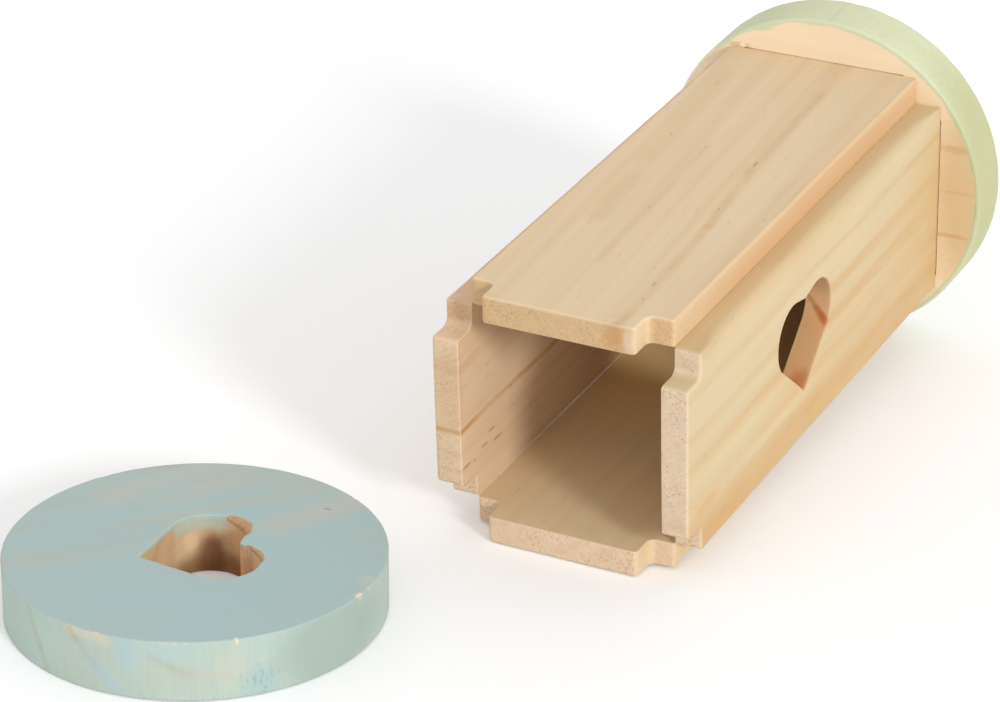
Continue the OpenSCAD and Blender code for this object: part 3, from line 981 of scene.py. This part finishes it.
pineBase = {
    "early": tint(224, 201, 163), "late": tint(208, 174, 128), "warm": tint(222, 192, 152),
    "bandTint": tint(208, 172, 124), "endTint": tint(228, 200, 166), "wornTint": tint(240, 218, 186),
    "wornEdge": 0.28, "rings": 0.32, "fibre": 0.09, "dashes": 0.22, "specks": 0.75, "bend": 7.0,
    "ringWidth": 7.0, "pith": (-120, 0, -60), "grainTurn": 0.0, "bandSpan": 60.0, "bands": [],
    "sawnTint": tint(214, 174, 128), "sawn": 0.8,
    "lines": [], "lineTint": tint(206, 164, 114), "fleckTint": tint(158, 112, 70), "woodSpotsAndPaintedShading": [],
    "wallSpots": [], "wallLines": [], "topLines": [], "tornDark": tint(152, 106, 74), "bump": 0.03,
}
boardLooks = {
    "top_board": {
        **pineBase, "grainTurn": 3.0, "ringWidth": 9.5, "rings": 0.24, "early": tint(228, 204, 168),
        "warm": tint(227, 198, 161), "endTint": tint(216, 181, 137),
        "bands": [(-27, 0.1), (-22, 0.3), (-19, 0.05), (-17, 0.35), (-14, 0.05), (-6, 0.02), (-3.5, 0.22),
                  (-1, 0.02), (9, 0.05), (11.5, 0.3), (14, 0.03), (24, 0.02), (27, 0.3)],
        "lines": [((15.7, -7), (13, 48), 2.4, 0.4, 0.5), ((13, 48), (9.5, 80), 2.2, 0.4, 0.7),
                  ((9.5, 80), (7.6, 158), 2.2, 0.36, 0.65), ((-14, 42), (-22, 158), 4.6, 0.3, 0.3),
                  ((-3, 20), (-6, 90), 1.8, 0.3, 0.35)],
        "woodSpotsAndPaintedShading": [((26.4, 88, 3), (2.6, 104, 6), 0.3, tint(214, 168, 120), 0.75),
                      ((-20, -7, 4), (6, 5, 6), 0.9, tint(222, 180, 134), 0.5),
                      ((14.2, -7.5, 4), (3.4, 2.4, 4.5), 1.4, tint(202, 150, 98), 0.65),
                      ((18.6, -7.5, 3.5), (2, 2.4, 4), 0.5, tint(226, 200, 172), 0.8)],
    },
    "left_board": {
        **pineBase, "grainTurn": -1.0, "ringWidth": 8.0, "pith": (140, 0, 70), "dashes": 0.35,
        "early": tint(229, 199, 165), "warm": tint(221, 183, 144), "lineTint": tint(200, 148, 92),
        "lines": [((-4.75, -7), (-4.2, 158), 1.3, 0.9, 0.2), ((-11, -7), (-10, 60), 1.2, 0.2, 0.7),
                  ((-16, -7), (-15, 60), 1.2, 0.15, 0.7), ((12, -7), (13, 158), 2.4, 0.3, 0.2)],
        "woodSpotsAndPaintedShading": [((6, -7.5, 2), (14, 3, 6), 1.0, tint(212, 168, 134), 0.4),
                      ((24, -1, 3), (4, 4, 6), 1.0, tint(206, 158, 118), 0.6),
                      # painted shade: this patch darkens the inner face to brown deep inside the tube
                      ((0, 120, 0), (60, 85, 2.5), 0.3, tint(178, 120, 70), 0.6),
                      # dark dashes on the inner face: across, along and half length
                      *[((across, along, 0), (0.45, half, 1.5), 0.4, tint(152, 106, 68), 0.6)
                        for across, along, half in ((-11.8, 8.2, 2.6), (-15.4, 11.0, 2.8), (-14.2, 4.4, 2.3),
                                                    (-15.3, -5.1, 3.2), (-4.9, 18.6, 1.1))]],
    },
    "bottom_board": {
        **pineBase, "grainTurn": 2.0, "ringWidth": 5.5, "pith": (30, 0, -40), "endTint": tint(230, 202, 172),
        # painted light: this patch makes the inner face paler and more golden deep inside, where light falls
        # in through the side heart
        "woodSpotsAndPaintedShading": [((14, 92, 0), (34, 60, 3), 0.3, tint(250, 216, 156), 0.9)],
    },
    "heart_board": {
        **pineBase, "grainTurn": 0.6, "ringWidth": 5.0, "rings": 0.26, "early": tint(215, 196, 157),
        "late": tint(202, 170, 122), "warm": tint(212, 184, 140), "pith": (90, 0, -130),
        "bandTint": tint(205, 161, 104), "endTint": tint(226, 201, 173), "sawnTint": tint(223, 171, 117),
        "fibre": 0.08,
        "bands": [(-27, 0.5), (-25, 0.3), (-22, 0.03), (-19, 0.05), (-17.4, 0.4), (-15, 0.02), (-9, 0.05),
                  (-6.7, 0.5), (-3.5, 0.04), (-1, 0.08), (1.4, 0.55), (5, 0.1), (8, 0.12), (12, 0.5),
                  (15, 0.22), (18, 0.5), (21, 0.85), (24, 0.75), (27, 0.8)],
        "lines": [((-6.7, 70), (-5.4, 158), 2.0, 0.3, 0.15), ((1.4, 75), (2.6, 158), 1.6, 0.35, 0.1),
                  ((17, -7), (18, 158), 2.2, 0.3, 0.1)],
        "woodSpotsAndPaintedShading": [((0, 150, 7), (30, 42, 8), 0.4, tint(210, 174, 120), 0.4),
                      ((0, 150, 7), (40, 1.3, 9), 0.7, tint(186, 138, 88), 0.45),
                      ((20.5, -2.1, 7), (0.8, 1.3, 1), 0.4, tint(186, 146, 96), 0.7),
                      ((15, 3, 7), (2.2, 9, 3), 0.8, tint(214, 162, 106), 0.5)],
        "wallSpots": [((-9, 75.5, 4.5), (5.5, 5, 6), 0.3, tint(196, 164, 124), 0.7),
                      ((13.2, 61.8, 5.6), (5.5, 7, 5), 0.3, tint(198, 122, 70), 0.7)],
        "wallLines": [((-4.4, 0.4), (0.4, 5.6), 1.1, tint(178, 122, 80), 0.6),
                      ((-1.4, 3.6), (1.2, 6.6), 1.5, tint(192, 112, 60), 0.7),
                      ((-0.1, 5.2), (0.9, 6.4), 1.3, tint(200, 108, 54), 0.8)],
    },
}
endLook = {
    **pineBase, "grainTurn": 90.0, "ringWidth": 12.5, "pith": (-160, 0, -30), "rings": 0.22, "fibre": 0.07,
    "early": tint(250, 232, 202), "late": tint(234, 202, 156), "warm": tint(247, 224, 190),
    "endTint": tint(236, 205, 162), "dashes": 0.1, "bump": 0.035,
    "woodSpotsAndPaintedShading": [((43, -3, 0), (16, 42, 9), 0.3, tint(219, 190, 144), 0.85),
                  ((37.8, -14.9, 0), (7, 1.6, 4), 0.5, tint(204, 156, 104), 0.4),
                  ((39.6, -2.5, 0), (7, 0.8, 4), 0.5, tint(204, 158, 106), 0.25),
                  ((37.2, 10.4, 0), (8, 1.0, 4), 0.5, tint(200, 150, 98), 0.4),
                  # painted light: this patch makes the inner face near white beside the top board, where it
                  # lies in shade
                  ((-38.0, -20.0, 0), (12, 24, 4), 0.2, tint(255, 244, 212), 0.95),
                  ((-24.2, -34.0, 0), (4.5, 1.2, 1), 0.5, tint(206, 164, 120), 0.5),
                  ((-23.3, -34.2, 0), (1.1, 0.8, 1), 0.3, tint(252, 244, 232), 0.9)],
    "paint": tint(208, 217, 180), "rimPaint": tint(208, 216, 178), "poolTint": tint(214, 226, 192),
    "chipTint": tint(228, 222, 190), "streak": (0.08, 0.08), "patch": 0.1, "pool": 0.5,
    "paintSpots": [], "scuffs": [],
    "rimPaintSpotsAndPaintedShade": [(onRimAt(-10, 8), (36, 46, 16), 0.3, tint(189, 189, 143), 0.85)],
    "innerEdge": (tint(208, 224, 192), 1.5, 0.4), "tornTint": tint(228, 222, 190),
    "rimLines": [((-88.2, -1), (-89.0, 13), 0.7, tint(184, 204, 168), 0.35),
                 ((-70, 2), (-66, 13), 0.6, tint(192, 208, 170), 0.3)],
}
lidLook = {
    **pineBase, "grainTurn": -40.0, "ringWidth": 6.2, "pith": (-80, 0, -35), "rings": 0.6, "fibre": 0.12,
    "early": tint(211, 182, 142), "late": tint(178, 132, 88), "warm": tint(199, 157, 112),
    "endTint": tint(203, 168, 126), "bump": 0.035,
    # painted shade: the first three spots darken the heart's far wall low down, where the lobe casts its
    # shadow
    "woodSpotsAndPaintedShading": [((-5.8, 16.6, 3.5), (4.8, 8, 9.2), 0.15, tint(116, 66, 26), 0.8),
                  ((-0.5, 17.0, 0), (8, 8, 7.5), 0.15, tint(120, 70, 32), 0.75),
                  ((-10, 12.5, 0), (6, 7, 6.5), 0.2, tint(120, 76, 38), 0.45),
                  ((1.5, 16.5, 11), (5, 4, 7), 0.4, tint(232, 186, 142), 0.7),
                  ((-9.6, 13.2, 8.6), (2.6, 3, 3.4), 0.3, tint(238, 208, 172), 0.5),
                  ((8, 10, 8), (5, 5, 9), 0.7, tint(244, 188, 152), 0.75),
                  ((13.8, 5.0, 12.6), (4.5, 4, 6), 0.5, tint(240, 200, 162), 0.85)],
    "paint": tint(172, 195, 194), "rimPaint": tint(179, 200, 191), "poolTint": tint(165, 194, 202),
    "chipTint": tint(222, 210, 188), "tornTint": tint(198, 156, 118),
    "innerEdge": (tint(183, 203, 193), 1.0, 0.0),
    "streak": (0.03, 0.26), "patch": 0.13, "pool": 0.25,
    "topLines": [
        ((11, 19), (21, 42), 7.5, tint(204, 192, 178), 0.42),
        ((-32, 13), (-19, 39), 7.0, tint(204, 192, 178), 0.34),
        ((-18, 19), (-10, 40), 5.0, tint(204, 192, 178), 0.22),
    ],
    "paintSpots": [
        ((42.6, 5.3, 15), (2.4, 3.4, 1.5), 0.6, tint(204, 204, 184), 0.4),
        ((17.1, 32.1, 15), (1.6, 0.7, 1), 0.8, tint(120, 136, 134), 0.55),
    ],
    "rimPaintSpotsAndPaintedShade": [
        (onRimAt(-67, 12.5), (10, 7, 4.5), 0.8, tint(174, 200, 204), 0.4),
        (onRimAt(-48.6, 7.8), (5, 6, 7), 0.9, tint(202, 200, 182), 0.4),
        (onRimAt(-39.5, 3), (6, 6, 6), 0.9, tint(164, 190, 190), 0.6),
        # painted shade: this spot darkens the rim on the side that faces the lamp
        (onRimAt(-15, 8), (12, 28, 16), 0.2, tint(156, 172, 161), 0.75),
        (onRimAt(-118, 8), (24, 20, 14), 0.4, tint(188, 211, 201), 0.6),
    ],
    "scuffs": [
        (onRimAt(-40.2, 3.4), (7, 7, 5), 0.8, tint(132, 158, 156), 0.5),
        (onRimAt(-5, 9), (4, 9, 5), 1.0, tint(150, 170, 160), 0.3),
    ],
    "rimLines": [
        ((-79.4, 15.0), (-78.4, 9.8), 4.0, tint(168, 198, 210), 0.45),
        ((-88.7, 6.6), (-80.0, 0.4), 2.4, tint(168, 196, 204), 0.6),
        ((-97.0, 14.2), (-84.5, 13.6), 2.4, tint(212, 204, 184), 0.6),
        ((-96.8, 14.0), (-94.6, 11.6), 1.5, tint(196, 176, 150), 0.6),
        ((-94.6, 11.8), (-88.7, 6.6), 1.4, tint(174, 184, 168), 0.35),
        ((-114.7, 14.6), (-109.7, 5.9), 1.6, tint(180, 174, 152), 0.36),
        ((-109.7, 5.9), (-106.4, 0.3), 1.6, tint(174, 174, 154), 0.32),
        ((-71.5, 11.6), (-65.0, 8.8), 1.5, tint(178, 180, 162), 0.4),
        ((-65.0, 8.8), (-59.7, 6.9), 1.7, tint(178, 180, 162), 0.4),
        ((-59.7, 6.9), (-48.7, 5.4), 2.0, tint(192, 188, 170), 0.4),
    ],
}


def dress(piece, material, node, body):
    piece.data.materials.append(material)
    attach(piece, body)
    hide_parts(node)


for name, settings in boards.items():
    wood = barePine(name + "_pine", boardLooks[name], boardFrame(settings["turn"]))
    dress(boardPiece(name, settings), wood, name, "tube")
greenWash = washedPine("green_wash", endLook, endFrame)
dress(discPiece("fixed_end", fixedEnd, endFrame, endCover), greenWash, "fixed_end", "tube")
blueWash = washedPine("blue_wash", lidLook, lidFrame)
dress(discPiece("lid", lid, lidFrame, lidCover), blueWash, "lid", "lid")
print("pieces dressed")


# Floor, light and camera
stage = {
    "floorHalf": 3.0,
    "floorDrop": 0.0002,
    "floorGrey": 0.93,
    "floorWhitening": 0.17,  # added to what the camera sees of the floor, which keeps its shadow
    "floorRough": 0.9,
    "floorGloss": 0.1,
    "worldLight": 0.76,
    "lampToward": (0.80, -0.48, 0.37),
    "lampStrength": 1.45,
    "lampSize": 12.0,  # in degrees
}
view = {
    "place": (0.37970, -0.74116, 0.41499),
    "forward": (-0.41632384, 0.80872584, -0.41549607),
    "up": (-0.1979639, 0.36539145, 0.90955999),
    "lens": 133.278,
    "sensor": 36.0,
}
white = (1, 1, 1, 1)


def seenRays():
    # 1 for what the camera sees directly or through a reflection, 0 for light that falls on the object
    path = put("LightPath", {}).outputs
    seen = calc("MAXIMUM", path["Is Glossy Ray"], path["Is Transmission Ray"])
    return calc("MAXIMUM", path["Is Camera Ray"], seen)


half = stage["floorHalf"]
floorMesh = bpy.data.meshes.new("floor")
corners = [(x * half, y * half, -stage["floorDrop"]) for x, y in ((-1, -1), (1, -1), (1, 1), (-1, 1))]
floorMesh.from_pydata(corners, [], [(0, 1, 2, 3)])
floor = addToScene("floor", floorMesh)
paper = newMaterial("white_paper")
whitening = times(seenRays(), stage["floorWhitening"])
floorTint = (stage["floorGrey"],) * 3 + (1,)
surface = put("BsdfPrincipled", {"Base Color": floorTint, "Roughness": stage["floorRough"],
                                 "Specular IOR Level": stage["floorGloss"], "Emission Color": white,
                                 "Emission Strength": whitening})
put("OutputMaterial", {0: surface.outputs[0]})
floorMesh.materials.append(paper)

world = bpy.data.worlds.new("white_studio")
scene.world = world
world.use_nodes = True
bench["tree"] = world.node_tree
bench["tree"].nodes.clear()
strength = spread(seenRays(), 0.0, 1.0, stage["worldLight"], 1.0)
backdrop = put("Background", {"Color": white, "Strength": strength})
put("OutputWorld", {0: backdrop.outputs[0]})

lamp = bpy.data.lights.new("key", "SUN")
lamp.energy = stage["lampStrength"]
lamp.angle = math.radians(stage["lampSize"])
addToScene("key", lamp).rotation_euler = Vector(stage["lampToward"]).to_track_quat("Z", "Y").to_euler()

forward = Vector(view["forward"]).normalized()
rightward = forward.cross(Vector(view["up"])).normalized()
upward = rightward.cross(forward)
cameraData = bpy.data.cameras.new("camera")
cameraData.sensor_fit = "HORIZONTAL"
cameraData.sensor_width = view["sensor"]
cameraData.lens = view["lens"]
camera = addToScene("camera", cameraData)
cameraTurn = Matrix((rightward, upward, -forward)).transposed()
camera.matrix_world = Matrix.Translation(view["place"]) @ cameraTurn.to_4x4()
scene.camera = camera
scene.view_settings.view_transform = "Standard"
print("stage set")
